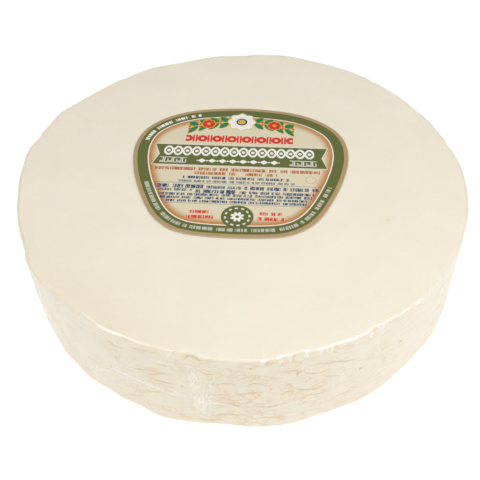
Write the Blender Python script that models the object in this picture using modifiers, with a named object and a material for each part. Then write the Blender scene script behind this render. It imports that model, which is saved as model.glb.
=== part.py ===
"""A whole wheel of salted ricotta, tightly wrapped in clear film, with a printed label on top.

The wheel is a low cylinder of pressed curd that has come out of its mould a little out of round.
Its flanks are crumbly: short cracks and lips of curd run level round the side. The label is a thin
flat sheet. The object stands on its flat base, with +Z up and its front towards -Y.
"""
import bmesh
import bpy
import numpy as np

# Driving dimensions, in metres
WHEEL_RADIUS = 0.127
WHEEL_HEIGHT = 0.059
RIM_ROUNDING = 0.0024
LABEL_THICKNESS = 0.0003
LABEL_GAP = 0.0003
LABEL_CENTRE = (-0.0012, 0.0062)
LABEL_TURN = np.radians(-3.9)

# How finely the wheel is turned, and how many triangles are left once it is thinned
TURNED_STEPS = 840
WALL_ROWS = 62
ROUNDING_ROWS = 4
WHEEL_TRIANGLES = 9600

# From here on, tables and relief are in millimetres, and angles in degrees anticlockwise from +X,
# seen from above
MM = 0.001
SEED = 7

# Where the outline swells or falls in: angle, spread and amount
OUTLINE_SWELLS = (
    (28, 14, -0.9), (52, 6, 0.7), (75, 8, 0.9), (91, 5, -1.8), (107, 10, -3.2), (151, 5, 2.0),
    (166, 13, 2.0), (203, 5, -1.3), (214, 5, 0.4), (227, 7, -0.5), (251, 6, 0.9), (274, 10, 1.5),
    (296, 8, 0.6),
)

# Where the side leans out at the top, and in at the bottom by as much: angle, spread and amount
SIDE_LEANS = (
    (62, 12, -0.2), (130, 14, -1.3), (188, 10, -1.4), (212, 8, 1.7), (228, 7, -0.6),
    (253, 5, -0.6), (267, 6, 1.0), (281, 4, -0.8), (303, 5, -0.5), (314, 5, 0.6),
)

# Bites out of the top rim: angle, half length and depth
RIM_NICKS = (
    (259, 4, 1.5), (278, 2.2, 0.7), (283, 2.4, 0.8), (299, 2.6, 1.4), (320, 3, 1), (334, 2, 0.6),
    (12, 3.2, 1), (47, 2.6, 0.8), (88, 3.6, 1.2), (127, 2.4, 0.7), (163, 3, 1.1), (206, 2.8, 0.8),
)
NICK_REACH_DOWN = 4.0

# The larger cracks in front: angle and height of the middle, half length, sag of the middle below
# the ends, and the rise from end to end
FRONT_CRACKS = (
    (241, 50, 4.5, 0.8, -2), (247.2, 54.3, 5.5, 0.6, 3), (246.7, 37.7, 5.5, 0.4, 3.6),
    (251, 38.8, 5.5, 0.6, 5.4), (251.6, 34.1, 8.5, 1.3, 1.7), (252.9, 46.9, 4.5, 0.6, -0.5),
    (248.8, 18.5, 7.5, -2.8, 7), (244.3, 11, 5, 0, 6.5), (262.2, 47.9, 4, 1.8, -0.6),
    (266.3, 38.6, 5, -2, 1.9), (272.7, 38, 4.8, -2.5, -2.1), (264.7, 30.3, 6, 0.6, 0.8),
    (270.8, 32.4, 6.5, 0.4, 2.2), (268.3, 20.3, 5.5, -0.5, -4), (266.8, 9.4, 11.5, -2.4, 5),
    (275.8, 22.6, 9.8, 2.9, 2.2), (276.3, 8.6, 6, -0.8, -2.4), (280.9, 43.8, 4.8, -3, -2.5),
    (282.1, 47.6, 3.4, 3.7, 3.1), (285.8, 42.8, 7.2, 2.6, -4.1), (290.5, 45.9, 11, 1.3, -5.8),
    (284.2, 35.2, 13, 7.3, -8.2), (279.8, 29.6, 4.4, -0.8, 2.3), (286, 22.9, 7, 0.8, -1.8),
    (289.6, 34.4, 4.4, 0.6, -2.4), (292, 12.6, 8, -1.4, 1.8), (262, 5.6, 7.5, 0.6, -1),
    (232, 22, 7, -0.8, 3), (226, 39, 5, 0.8, 2),
)
FRONT_CRACK_DEPTH = 0.9

# The other cracks are scattered from where the front ones stop, round the back, to where they start
SCATTERED_CRACKS = 46
SCATTER_FROM, SCATTER_TO = 310, 580
CRACK_HALF_WIDTH = 0.9
LIP_HEIGHT, HOLLOW_DEPTH, LIP_FADE = 0.55, 0.45, 4.2

# Small pits: the ones in front by angle, height, radius and depth, and how many are scattered
FRONT_PITS = (
    (239.9, 50.6, 1.1, 0.6), (240.6, 38.4, 1.2, 0.6), (240.4, 18, 1, 0.6), (256.5, 32.5, 1.2, 0.6),
    (267, 52.9, 0.9, 0.5), (271.5, 53.2, 1.1, 0.6), (279.6, 45.6, 1, 0.5), (281.6, 42.2, 1.1, 0.6),
    (287.9, 23.7, 1.1, 0.5), (297, 30.8, 1.2, 0.7), (302.8, 38, 1, 0.6), (298.7, 56.8, 1.1, 0.7),
)
SCATTERED_PITS = 30
CURD_WAVES = 20
CURD_WAVE_HEIGHT = 0.07
CURD_WAVE_ORDER = 16

# The gathered pleat of film down the front: the angles of its top and foot, and its size
PLEAT_TOP_ANGLE, PLEAT_FOOT_ANGLE = 258.6, 261.4
PLEAT_TOP, PLEAT_FOOT = 54.0, 4.0
PLEAT_HALF_WIDTH, PLEAT_RISE = 2.2, 1.1

# One side of the label's outline from its top to its foot, from its middle
LABEL_OUTLINE = (
    (0, 56.4), (14.9, 55.4), (30.4, 52.7), (45.8, 45.8), (58.1, 33.6), (62.9, 16.9), (61.5, 0),
    (57.3, -15.4), (51.6, -29.8), (43.5, -43.5), (30.6, -53), (15, -55.9), (0, -56.4),
)
LABEL_STEPS = 144


def degrees_between(angle, middle):
    """The signed difference of two angles in degrees, from -180 to 180."""
    return (angle - middle + 180) % 360 - 180


def along_side(angle, middle):
    """How far round the side an angle lies from a middle one, in millimetres."""
    return np.radians(degrees_between(angle, middle)) * WHEEL_RADIUS / MM


def bumps_round(angle, table):
    """The sum of a bell curve for each of the table's rows of angle, spread and amount."""
    return sum(amount * np.exp(-((degrees_between(angle, middle) / spread) ** 2))
               for middle, spread, amount in table)


def cracks():
    """All cracks, as rows of angle, height, half length, sag, rise and depth."""
    rng = np.random.default_rng(SEED)
    front = [(*row, FRONT_CRACK_DEPTH) for row in FRONT_CRACKS]
    angles = np.linspace(SCATTER_FROM, SCATTER_TO, SCATTERED_CRACKS)
    angles = (angles + rng.uniform(-4, 4, SCATTERED_CRACKS)) % 360
    heights = rng.uniform(7, 51, SCATTERED_CRACKS)
    half_lengths = rng.uniform(5, 12, SCATTERED_CRACKS)
    sags = rng.uniform(-1.4, 1.6, SCATTERED_CRACKS)
    rises = rng.uniform(-3, 3, SCATTERED_CRACKS)
    depths = rng.uniform(0.4, 0.9, SCATTERED_CRACKS)
    return front + list(zip(angles, heights, half_lengths, sags, rises, depths))


def crack_relief(angle, height):
    """Each crack is a groove along a bowed, wavering line, with a lip of curd above it and a hollow
    below it that fade out upwards and downwards. All taper to nothing at the crack's ends."""
    relief = np.zeros_like(angle)
    for middle, level, half_length, sag, rise, depth in cracks():
        along = np.clip(along_side(angle, middle) / half_length, -1, 1)
        waver = 5 * np.sin(2.3 * along + level) + 3 * np.sin(6.1 * along + middle)
        line = level + sag * (along**2 - 1) + rise * along / 2 + waver * half_length / 100
        above = height - line
        groove = -np.exp(-((above / CRACK_HALF_WIDTH) ** 2))
        lip = np.where(above > 0, LIP_HEIGHT, -HOLLOW_DEPTH) * np.exp(-np.abs(above) / LIP_FADE)
        relief += depth * (1 - along**2) ** 0.7 * (groove + lip)
    return relief


def pit_relief(angle, height):
    """Small round pits in the side: the front ones, and others at seeded places."""
    rng = np.random.default_rng(SEED + 1)
    angles = np.linspace(SCATTER_FROM, SCATTER_TO, SCATTERED_PITS)
    angles = (angles + rng.uniform(-4, 4, SCATTERED_PITS)) % 360
    heights = rng.uniform(6, 52, SCATTERED_PITS)
    radii = rng.uniform(0.9, 1.5, SCATTERED_PITS)
    depths = rng.uniform(0.4, 0.8, SCATTERED_PITS)
    relief = np.zeros_like(angle)
    for middle, level, radius, depth in FRONT_PITS + tuple(zip(angles, heights, radii, depths)):
        from_middle = along_side(angle, middle) ** 2 + (height - level) ** 2
        relief -= depth * np.exp(-from_middle / radius**2)
    return relief


def pleat_relief(angle, height):
    """The gathered film: a low ridge that leans from its top to its foot, and is highest halfway."""
    down = np.clip((PLEAT_TOP - height) / (PLEAT_TOP - PLEAT_FOOT), 0, 1)
    across = along_side(angle, PLEAT_TOP_ANGLE + (PLEAT_FOOT_ANGLE - PLEAT_TOP_ANGLE) * down)
    return PLEAT_RISE * np.exp(-((across / PLEAT_HALF_WIDTH) ** 2)) * np.sin(np.pi * down)


def curd_relief(angle, height):
    """Slow unevenness of the pressed curd: seeded waves that run round and up the side at mixed
    slants, from 2 to 12 cm long, the longer ones the higher."""
    rng = np.random.default_rng(SEED + 2)
    turn = np.radians(angle)
    relief = np.zeros_like(angle)
    for order in rng.integers(6, 40, CURD_WAVES):
        slant = rng.uniform(-1.2, 1.2) * order * MM / WHEEL_RADIUS
        phase = rng.uniform(0, 2 * np.pi)
        rise = CURD_WAVE_HEIGHT * (CURD_WAVE_ORDER / order) ** 0.6
        relief += rise * np.sin(order * turn + slant * height + phase)
    return relief


def nick_relief(angle, height):
    """Bites out of the top rim, each deepest at the rim and gone a little way below it."""
    below = (WHEEL_HEIGHT / MM - height) / NICK_REACH_DOWN
    relief = np.zeros_like(angle)
    for middle, half_length, depth in RIM_NICKS:
        along = along_side(angle, middle) / half_length
        relief -= depth * np.exp(-(along**4)) * np.exp(-(below**2))
    return relief


def finish(name, colour, roughness, coat):
    """A Principled material with one colour, for a sub-part."""
    material = bpy.data.materials.new(name)
    material.use_nodes = True
    shader = material.node_tree.nodes["Principled BSDF"]
    shader.inputs["Base Color"].default_value = (*colour, 1)
    shader.inputs["Roughness"].default_value = roughness
    shader.inputs["Metallic"].default_value = 0.0
    shader.inputs["Coat Weight"].default_value = coat
    return material


def half_section():
    """Radius and height down the plain wheel's outer side: top rounding, wall, bottom rounding."""
    quarter = np.linspace(0, np.pi / 2, ROUNDING_ROWS + 1)
    radii = WHEEL_RADIUS - RIM_ROUNDING * (1 - np.sin(quarter))
    heights = WHEEL_HEIGHT - RIM_ROUNDING * (1 - np.cos(quarter))
    wall = np.linspace(WHEEL_HEIGHT - RIM_ROUNDING, RIM_ROUNDING, WALL_ROWS + 1)[1:-1]
    upper = list(zip(radii, heights))
    lower = [(radius, WHEEL_HEIGHT - height) for radius, height in reversed(upper)]
    return upper + [(WHEEL_RADIUS, height) for height in wall] + lower


def turned_blank():
    """The plain wheel as a mesh: its half section turned with a Screw modifier, and its flat top
    and base closed with one face each."""
    section = half_section()
    mesh = bpy.data.meshes.new("wheel_section")
    edges = [(i, i + 1) for i in range(len(section) - 1)]
    mesh.from_pydata([(radius, 0, height) for radius, height in section], edges, [])
    profile = bpy.data.objects.new("wheel_section", mesh)
    bpy.context.scene.collection.objects.link(profile)
    screw = profile.modifiers.new("turn", "SCREW")
    screw.axis = "Z"
    screw.angle = 2 * np.pi
    screw.steps = TURNED_STEPS
    screw.render_steps = TURNED_STEPS
    screw.use_merge_vertices = True
    screw.merge_threshold = 0.00001

    evaluated = profile.evaluated_get(bpy.context.evaluated_depsgraph_get())
    turned = bpy.data.meshes.new_from_object(evaluated)
    bpy.data.objects.remove(profile)
    shape = bmesh.new()
    shape.from_mesh(turned)
    rims = [edge for edge in shape.edges if edge.is_boundary]
    bmesh.ops.holes_fill(shape, edges=rims, sides=0)
    bmesh.ops.recalc_face_normals(shape, faces=shape.faces)
    shape.to_mesh(turned)
    shape.free()
    return turned


def relieved(points):
    """The blank's points moved to the real wheel: the outline's swells and leans move them across
    the axis, and the relief moves them along the plain wheel's normal."""
    radius = np.hypot(points[:, 0], points[:, 1])
    outward = points[:, :2] / radius[:, None]
    angle = np.degrees(np.arctan2(points[:, 1], points[:, 0])) % 360
    height = points[:, 2] / MM

    # The plain wheel's normal is level on the wall, and turns up or down on the rounded rims
    spine = np.clip(points[:, 2], RIM_ROUNDING, WHEEL_HEIGHT - RIM_ROUNDING)
    normal = np.stack([radius - (WHEEL_RADIUS - RIM_ROUNDING), points[:, 2] - spine], axis=1)
    normal /= np.linalg.norm(normal, axis=1)[:, None]

    side = crack_relief(angle, height) + pit_relief(angle, height)
    side += pleat_relief(angle, height) + curd_relief(angle, height)
    relief = (side * normal[:, 0] ** 2 + nick_relief(angle, height) * normal[:, 0]) * MM
    lean = bumps_round(angle, SIDE_LEANS) * (2 * points[:, 2] / WHEEL_HEIGHT - 1)
    shift = (bumps_round(angle, OUTLINE_SWELLS) + lean) * MM + relief * normal[:, 0]
    across = points[:, :2] + outward * shift[:, None]
    return np.column_stack([across, points[:, 2] + relief * normal[:, 1]])


def cheese_wheel(parts):
    """The wheel with its relief, thinned where it is smooth. Returns the middle of its outline,
    which was moved to the origin."""
    mesh = turned_blank()
    points = np.empty(len(mesh.vertices) * 3)
    mesh.vertices.foreach_get("co", points)
    points = relieved(points.reshape(-1, 3))
    middle = (points[:, :2].min(axis=0) + points[:, :2].max(axis=0)) / 2
    points[:, :2] -= middle
    mesh.vertices.foreach_set("co", points.ravel())
    mesh.shade_smooth()
    mesh.set_sharp_from_angle(angle=np.radians(50))
    mesh.materials.append(finish("wrapped_curd", (0.86, 0.80, 0.68), 0.35, 0.6))

    wheel = bpy.data.objects.new("cheese_wheel", mesh)
    parts.objects.link(wheel)
    triangles = sum(len(face.vertices) - 2 for face in mesh.polygons)
    thin = wheel.modifiers.new("thin", "DECIMATE")
    thin.ratio = WHEEL_TRIANGLES / triangles
    thin.use_collapse_triangulate = True
    return middle


def closed_spline(points, count):
    """Points evenly along a smooth closed curve through the given ones: a periodic cubic, whose
    slopes solve the usual ring of equations that makes its bend continuous."""
    points = np.array(points, float)
    after = np.roll(points, -1, axis=0)
    before = np.roll(points, 1, axis=0)
    ring = np.eye(len(points))
    system = 4 * ring + np.roll(ring, 1, axis=1) + np.roll(ring, -1, axis=1)
    slopes = np.linalg.solve(system, 3 * (after - before))
    place = np.arange(count) * len(points) / count
    start = place.astype(int)
    end = (start + 1) % len(points)
    t = (place - start)[:, None]
    from_start = points[start] * (2 * t**3 - 3 * t**2 + 1) + slopes[start] * (t**3 - 2 * t**2 + t)
    from_end = points[end] * (3 * t**2 - 2 * t**3) + slopes[end] * (t**3 - t**2)
    return from_start + from_end


def label(parts, wheel_middle):
    """The label: its outline, mirrored from one side, as a filled flat curve with half its
    thickness on each side, laid a hair above the wheel's flat top."""
    other_side = [(-x, y) for x, y in reversed(LABEL_OUTLINE[1:-1])]
    outline = closed_spline(list(LABEL_OUTLINE) + other_side, LABEL_STEPS) * MM
    curve = bpy.data.curves.new("label", "CURVE")
    curve.dimensions = "2D"
    curve.fill_mode = "BOTH"
    curve.extrude = LABEL_THICKNESS / 2
    spline = curve.splines.new("POLY")
    spline.points.add(LABEL_STEPS - 1)
    corners = np.column_stack([outline, np.zeros(LABEL_STEPS), np.ones(LABEL_STEPS)])
    spline.points.foreach_set("co", corners.ravel())
    spline.use_cyclic_u = True
    curve.materials.append(finish("printed_label", (0.20, 0.22, 0.11), 0.3, 0.3))

    sheet = bpy.data.objects.new("label", curve)
    parts.objects.link(sheet)
    across = np.array(LABEL_CENTRE) - wheel_middle
    sheet.location = (*across, WHEEL_HEIGHT + LABEL_GAP + LABEL_THICKNESS / 2)
    sheet.rotation_euler = (0, 0, LABEL_TURN)


def main():
    for thing in list(bpy.data.objects):
        bpy.data.objects.remove(thing)
    parts = bpy.data.collections.new("ricotta_salata_wheel")
    bpy.context.scene.collection.children.link(parts)
    wheel_middle = cheese_wheel(parts)
    label(parts, wheel_middle)


main()
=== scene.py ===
"""A whole wheel of pressed salted ricotta in tight clear film, with a printed label on its top."""

import bpy
import numpy as np
from mathutils import Matrix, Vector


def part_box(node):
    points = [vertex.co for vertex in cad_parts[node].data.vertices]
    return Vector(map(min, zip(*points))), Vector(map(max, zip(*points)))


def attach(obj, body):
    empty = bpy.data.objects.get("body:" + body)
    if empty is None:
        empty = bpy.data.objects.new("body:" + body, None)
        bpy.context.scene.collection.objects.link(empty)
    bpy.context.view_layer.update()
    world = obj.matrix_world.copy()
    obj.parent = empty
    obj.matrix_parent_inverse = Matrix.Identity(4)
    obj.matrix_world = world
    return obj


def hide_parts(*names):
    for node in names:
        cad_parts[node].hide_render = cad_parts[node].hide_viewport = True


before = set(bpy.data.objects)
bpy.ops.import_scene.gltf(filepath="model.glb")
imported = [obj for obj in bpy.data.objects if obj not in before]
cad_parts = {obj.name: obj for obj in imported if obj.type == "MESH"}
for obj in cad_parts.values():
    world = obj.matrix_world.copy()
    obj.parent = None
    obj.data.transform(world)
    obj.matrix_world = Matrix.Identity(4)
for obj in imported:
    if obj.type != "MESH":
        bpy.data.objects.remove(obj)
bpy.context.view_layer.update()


# The wheel of curd
#
# Whey curd, pressed in a round mould and salted: a dense cream-white paste, smooth on top where
# the mould's lid lay, and crumbly round its flank, where level cracks and pits have dried to a
# pale tan. It is one piece that stands on its base, just inside the film.

MM = 0.001
WHEEL_RADIUS = 127
RIM_ROUNDING = 2.4
SEED = 7
wheel_low, wheel_high = (np.array(corner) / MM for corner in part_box("cheese_wheel"))
WHEEL_HEIGHT = wheel_high[2] - wheel_low[2]
CURD_UNDER_FILM = 0.3

# The same swells, leans, nicks and cracks as the solid has, in degrees round the wheel and
# millimetres. Where the outline swells or falls in: angle, spread and amount
OUTLINE_SWELLS = (
    (28, 14, -0.9), (52, 6, 0.7), (75, 8, 0.9), (91, 5, -1.8), (107, 10, -3.2), (151, 5, 2),
    (166, 13, 2), (203, 5, -1.3), (214, 5, 0.4), (227, 7, -0.5), (251, 6, 0.9), (274, 10, 1.5),
    (296, 8, 0.6),
)
# Where the side leans out at the top, and in at the bottom by as much
SIDE_LEANS = (
    (62, 12, -0.2), (130, 14, -1.3), (188, 10, -1.4), (212, 8, 1.7), (228, 7, -0.6),
    (253, 5, -0.6), (267, 6, 1), (281, 4, -0.8), (303, 5, -0.5), (314, 5, 0.6),
)
# Bites out of the top rim: angle, half length and depth
RIM_NICKS = (
    (259, 4, 1.5), (278, 2.2, 0.7), (283, 2.4, 0.8), (299, 2.6, 1.4), (320, 3, 1), (334, 2, 0.6),
    (12, 3.2, 1), (47, 2.6, 0.8), (88, 3.6, 1.2), (127, 2.4, 0.7), (163, 3, 1.1), (206, 2.8, 0.8),
)
NICK_REACH_DOWN = 4
# The larger cracks in front: angle and height of the middle, half length, sag of the middle below
# the ends, and the rise from end to end
FRONT_CRACKS = (
    (241, 50, 4.5, 0.8, -2), (247.2, 54.3, 5.5, 0.6, 3), (246.7, 37.7, 5.5, 0.4, 3.6),
    (251, 38.8, 5.5, 0.6, 5.4), (251.6, 34.1, 8.5, 1.3, 1.7), (252.9, 46.9, 4.5, 0.6, -0.5),
    (248.8, 18.5, 7.5, -2.8, 7), (244.3, 11, 5, 0, 6.5), (262.2, 47.9, 4, 1.8, -0.6),
    (266.3, 38.6, 5, -2, 1.9), (272.7, 38, 4.8, -2.5, -2.1), (264.7, 30.3, 6, 0.6, 0.8),
    (270.8, 32.4, 6.5, 0.4, 2.2), (268.3, 20.3, 5.5, -0.5, -4), (266.8, 9.4, 11.5, -2.4, 5),
    (275.8, 22.6, 9.8, 2.9, 2.2), (276.3, 8.6, 6, -0.8, -2.4), (280.9, 43.8, 4.8, -3, -2.5),
    (282.1, 47.6, 3.4, 3.7, 3.1), (285.8, 42.8, 7.2, 2.6, -4.1), (290.5, 45.9, 11, 1.3, -5.8),
    (284.2, 35.2, 13, 7.3, -8.2), (279.8, 29.6, 4.4, -0.8, 2.3), (286, 22.9, 7, 0.8, -1.8),
    (289.6, 34.4, 4.4, 0.6, -2.4), (292, 12.6, 8, -1.4, 1.8), (262, 5.6, 7.5, 0.6, -1),
    (232, 22, 7, -0.8, 3), (226, 39, 5, 0.8, 2),
)
# Two short ones under the bite in the rim in front
NICK_CRACKS = ((258.5, 56.6, 2.2, -0.5, 3.8), (260.8, 56.6, 2.8, 0.4, 0))
FRONT_CRACK_DEPTH, NICK_CRACK_DEPTH = 0.9, 1
SCATTERED_CRACKS = 46
SCATTER_FROM, SCATTER_TO = 310, 580
LIP_STEP, LIP_STEP_MIDDLE, LIP_STEP_WIDTH, LIP_FADE = 1, 0.05, 0.8, 4.2
CRACK_HALF_WIDTH = 0.8
CRACK_REACH = 2.6
# Small pits: the ones in front by angle, height, radius and depth, and how many are scattered
FRONT_PITS = (
    (239.9, 50.6, 1.1, 0.6), (240.6, 38.4, 1.2, 0.6), (240.4, 18, 1, 0.6), (256.5, 32.5, 1.2, 0.6),
    (267, 52.9, 0.9, 0.5), (271.5, 53.2, 1.1, 0.6), (279.6, 45.6, 1, 0.5), (281.6, 42.2, 1.1, 0.6),
    (287.9, 23.7, 1.1, 0.5), (297, 30.8, 1.2, 0.7), (302.8, 38, 1, 0.6), (298.7, 56.8, 1.1, 0.7),
)
SCATTERED_PITS = 30
CURD_WAVES = 20
CURD_WAVE_HEIGHT = 0.07
CURD_WAVE_ORDER = 16


def degrees_between(angle, middle):
    """The signed difference of two angles in degrees, from -180 to 180."""
    return (angle - middle + 180) % 360 - 180


def along_side(angle, middle):
    """How far round the side an angle lies from a middle one, in millimetres."""
    return np.radians(degrees_between(angle, middle)) * WHEEL_RADIUS


def bell(x, spread):
    """exp(-(x / spread)^2)"""
    return np.exp(-((x / spread) ** 2))


def bumps_round(angle, table):
    """The sum of a bell curve for each of the table's rows of angle, spread and amount."""
    return sum(amount * bell(degrees_between(angle, middle), spread)
               for middle, spread, amount in table)


def ease(t):
    """The curve 3t^2 - 2t^3, from 0 to 1, level at both ends and held there outside them."""
    t = np.clip(t, 0, 1)
    return t * t * (3 - 2 * t)


def lumps(angle, height, across, up, seed):
    """Smooth noise from -1 to 1 round the side: seeded values on a lattice of cells that closes
    round the wheel, with the eased mean of the four corners inside each cell."""
    columns = max(3, round(2 * np.pi * WHEEL_RADIUS / across))
    rows = int(WHEEL_HEIGHT / up) + 4
    values = np.random.default_rng(seed).uniform(-1, 1, (rows, columns))
    u = angle / 360 * columns
    v = np.clip(height / up + 1, 0, rows - 1.001)
    left, low = np.floor(u).astype(int), np.floor(v).astype(int)
    s, t = ease(u - left), ease(v - low)
    left, right = left % columns, (left + 1) % columns
    lower = values[low, left] * (1 - s) + values[low, right] * s
    upper = values[low + 1, left] * (1 - s) + values[low + 1, right] * s
    return lower * (1 - t) + upper * t


def scattered(seed, count, *ranges):
    """Seeded rows of an angle, at the sides and back, and a value from each of the ranges."""
    rng = np.random.default_rng(seed)
    angles = np.linspace(SCATTER_FROM, SCATTER_TO, count)
    angles = (angles + rng.uniform(-4, 4, count)) % 360
    return list(zip(angles, *(rng.uniform(low, high, count) for low, high in ranges)))


def cracks():
    """All cracks, as rows of angle, height, half length, sag, rise and depth."""
    front = [(*row, FRONT_CRACK_DEPTH) for row in FRONT_CRACKS]
    front += [(*row, NICK_CRACK_DEPTH) for row in NICK_CRACKS]
    return front + scattered(SEED, SCATTERED_CRACKS, (7, 51), (5, 12), (-1.4, 1.6), (-3, 3),
                             (0.4, 0.9))


def crack_fields(angle, height):
    """Relief and stain of the cracks. Each is a bowed, wavering line that tapers to its ends.
    Returns the groove along the lines, the lips above and hollows below them, the height above the
    nearest line, and how strongly that line shows, which is nothing past a few millimetres."""
    groove, lips, nearest, strength = np.zeros((4, *angle.shape))
    for middle, level, half_length, sag, rise, depth in cracks():
        along = np.clip(along_side(angle, middle) / half_length, -1, 1)
        waver = 5 * np.sin(2.3 * along + level) + 3 * np.sin(6.1 * along + middle)
        line = level + sag * (along**2 - 1) + rise * along / 2 + waver * half_length / 100
        above = height - line
        taper = (1 - along**2) ** 0.7
        groove -= depth * taper * bell(above, CRACK_HALF_WIDTH)
        step = LIP_STEP_MIDDLE + LIP_STEP / 2 * np.tanh(above / LIP_STEP_WIDTH)
        lips += depth * taper * step * np.exp(-np.abs(above) / LIP_FADE)
        shows = depth * taper * ease(2 * (1 - np.abs(above) / CRACK_REACH))
        nearest = np.where(shows > strength, above, nearest)
        strength = np.maximum(shows, strength)
    return groove, lips, nearest, strength


def pit_relief(angle, height):
    """Small round pits, each a bell of the distance from its middle: the front ones, and others
    at seeded places."""
    others = scattered(SEED + 1, SCATTERED_PITS, (6, 52), (0.9, 1.5), (0.4, 0.8))
    return -sum(depth * bell(np.hypot(along_side(angle, middle), height - level), radius)
                for middle, level, radius, depth in list(FRONT_PITS) + others)


def wave_relief(angle, height):
    """Slow unevenness of the pressed curd: seeded waves that run round and up the side at mixed
    slants, from 2 to 12 cm long, the longer ones the higher."""
    rng = np.random.default_rng(SEED + 2)
    turn = np.radians(angle)
    relief = np.zeros_like(angle)
    for order in rng.integers(6, 40, CURD_WAVES):
        slant = rng.uniform(-1.2, 1.2) * order / WHEEL_RADIUS
        phase = rng.uniform(0, 2 * np.pi)
        rise = CURD_WAVE_HEIGHT * (CURD_WAVE_ORDER / order) ** 0.6
        relief += rise * np.sin(order * turn + slant * height + phase)
    return relief


def nick_relief(angle, height):
    """Bites out of the top rim: exp(-x^4) along it for each, and a bell down the side."""
    bites = sum(depth * np.exp(-((along_side(angle, middle) / half_length) ** 4))
                for middle, half_length, depth in RIM_NICKS)
    return -bites * bell(WHEEL_HEIGHT - height, NICK_REACH_DOWN)


# The flank's curd shows as flattened lumps with shallow creases between them
LUMP_WIDTH, LUMP_HEIGHT = 8.5, 4.6
LUMP_CREASE_DEPTH, LUMP_CREASE_WIDTH = 0.3, 0.16
LUMP_JITTER = 0.42
# How much of the cracks' and creases' relief is left under the film's pull, and how much of the
# cracks is smoothed away where the flank is smooth
SOFTENED, SMOOTHED = 0.6, 0.75
SMOOTH_STRETCHES = ((325, 24, 1), (222, 16, 1))
CRUMBLY_FRONT = ((269, 24, 1),)


def crumb(angle, height):
    """How crumbly the flank is, from 0 to 1: most in front of the middle, and elsewhere by slow
    noise, with its smoothest stretches at the far left and right."""
    front = bumps_round(angle, CRUMBLY_FRONT)
    slow = lumps(angle, height, 60, 25, 31)
    crumbly = 0.45 + 0.45 * front + (0.4 - 0.25 * front) * slow
    return np.clip(crumbly - 0.4 * bumps_round(angle, SMOOTH_STRETCHES), 0, 1)


def crease_relief(angle, height):
    """Creases between the curd's lumps: each point's distances to the nearest and the next nearest
    lump middle are all but equal on a crease. The middles are a jittered brick pattern."""
    angle = angle + 1.6 * lumps(angle, height, 14, 7, 21)
    height = height + 1.5 * lumps(angle, height, 9, 6, 22)
    columns = round(2 * np.pi * WHEEL_RADIUS / LUMP_WIDTH)
    rows = int(WHEEL_HEIGHT / LUMP_HEIGHT) + 6
    jitter = np.random.default_rng(SEED + 3).uniform(-LUMP_JITTER, LUMP_JITTER, (2, rows, columns))
    v = height / LUMP_HEIGHT + 2.5
    row = np.floor(v).astype(int)
    nearest = np.full(angle.shape, 9.0)
    next_nearest = nearest.copy()
    for row_step in (-1, 0, 1):
        here = np.clip(row + row_step, 0, rows - 1)
        u = angle / 360 * columns + 0.5 * (here % 2)
        column = np.floor(u).astype(int)
        for column_step in (-1, 0, 1):
            lump = (column + column_step) % columns
            across = column + column_step + 0.5 + jitter[0, here, lump] - u
            up = here + 0.5 + jitter[1, here, lump] - v
            distance = np.hypot(across, up)
            next_nearest = np.minimum(next_nearest, np.maximum(nearest, distance))
            nearest = np.minimum(nearest, distance)
    crease = bell(next_nearest - nearest, LUMP_CREASE_WIDTH)
    patchy = ease(0.5 + 0.9 * lumps(angle, height, 16, 9, 23))
    return -LUMP_CREASE_DEPTH * crease * patchy * crumb(angle, height), crease * patchy


def half_section(top_radii, rim_rows, wall_rows, base_radii):
    """The plain wheel's half section from near the middle of its top to near the middle of its
    base, as rows of radius, height, and the outward normal's radial and upward parts."""
    quarter = np.linspace(0, np.pi / 2, rim_rows + 1)
    rim = np.stack([WHEEL_RADIUS - RIM_ROUNDING * (1 - np.sin(quarter)),
                    WHEEL_HEIGHT - RIM_ROUNDING * (1 - np.cos(quarter)),
                    np.sin(quarter), np.cos(quarter)], axis=1)
    foot = rim[::-1] * (1, -1, 1, -1) + (0, WHEEL_HEIGHT, 0, 0)
    wall = [(WHEEL_RADIUS, height, 1, 0)
            for height in np.linspace(rim[-1, 1], foot[0, 1], wall_rows + 1)[1:-1]]
    top = [(radius, WHEEL_HEIGHT, 0, 1) for radius in top_radii]
    base = [(radius, 0, 0, -1) for radius in base_radii]
    return np.concatenate([top, rim, wall, foot, base])


COLUMNS = 1000
# How far in from the rim the outline's swells and leans have died out
SWELLS_END = 40
SECTION = half_section((4, 30, 60, 85, 103, 114, 120.5), 7, 70, (120, 80, 4))


def round_the_wheel(relief_of):
    """A closed skin round the wheel, as points and named fields. It is the half section carried
    round the axis: each point starts on the plain wheel, the outline's swells and leans move it
    across the axis, and relief_of(angle, height, side) moves it along the plain wheel's normal.
    side is 1 on the wall and 0 on top and base."""
    angle, row = np.meshgrid(np.arange(COLUMNS) * 360 / COLUMNS, np.arange(len(SECTION)))
    radius, height, outward, upward = SECTION[row].transpose(2, 0, 1)
    relief, fields = relief_of(angle, height, outward**2)
    lean = bumps_round(angle, SIDE_LEANS) * (2 * height / WHEEL_HEIGHT - 1)
    near_rim = ease(1 - (WHEEL_RADIUS - RIM_ROUNDING - radius) / SWELLS_END)
    shift = (bumps_round(angle, OUTLINE_SWELLS) + lean) * near_rim + relief * outward
    radius = radius + shift
    turn = np.radians(angle)
    points = np.stack([radius * np.cos(turn), radius * np.sin(turn), height + relief * upward], -1)
    return points, fields


def add_object(name, data):
    """A new object in the scene, at the origin."""
    made = bpy.data.objects.new(name, data)
    bpy.context.scene.collection.objects.link(made)
    return made


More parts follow.
